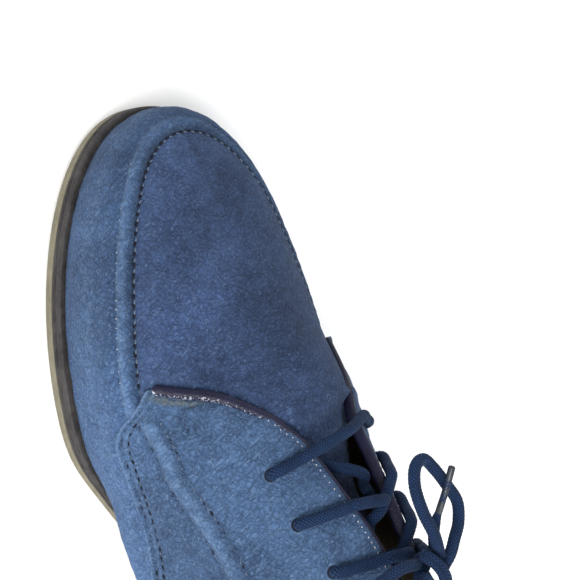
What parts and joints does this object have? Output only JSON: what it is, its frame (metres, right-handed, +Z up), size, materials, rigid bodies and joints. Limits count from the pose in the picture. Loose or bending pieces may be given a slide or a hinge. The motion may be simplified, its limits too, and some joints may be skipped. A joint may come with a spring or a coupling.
{
  "type": "derby shoe",
  "caption": "Left lace-up derby shoe in blue suede with a raised apron seam, open laced throat, thin round laces in a bow and a low stacked heel",
  "frame": {"origin": "on the floor under the middle of the bounding box, without the laces' free knot, loops and ends", "axes": "+Z up from the floor the shoe stands on; -Y out through the toe and +Y out through the heel; +X to the shoe's own outer (lateral) side and -X to its inner (medial) side, for a left shoe"},
  "size_m": [0.1055, 0.2886, 0.1324],
  "materials": {
    "blue_suede": "matte",
    "tongue_suede": "matte",
    "sock_leather": "matte",
    "charcoal_welt": "matte",
    "tan_sole": "matte",
    "navy_lace": "matte",
    "navy_binding": "gloss",
    "lining_leather": "matte",
    "thread": "matte",
    "lace_tip": "satin"
  },
  "bodies": {
    "root": {"upper": "blue_suede", "tongue": "tongue_suede", "insole": "sock_leather", "midsole": "charcoal_welt", "outsole": "tan_sole", "heel": "tan_sole", "lace_bar": "navy_lace", "lace_cross_lower": "navy_lace", "lace_cross_upper": "navy_lace", "lace_knot": "navy_lace", "lace_loop_medial": "navy_lace", "lace_loop_lateral": "navy_lace", "lace_end_medial": "navy_lace", "lace_end_lateral": "navy_lace"}
  },
  "joints": []
}
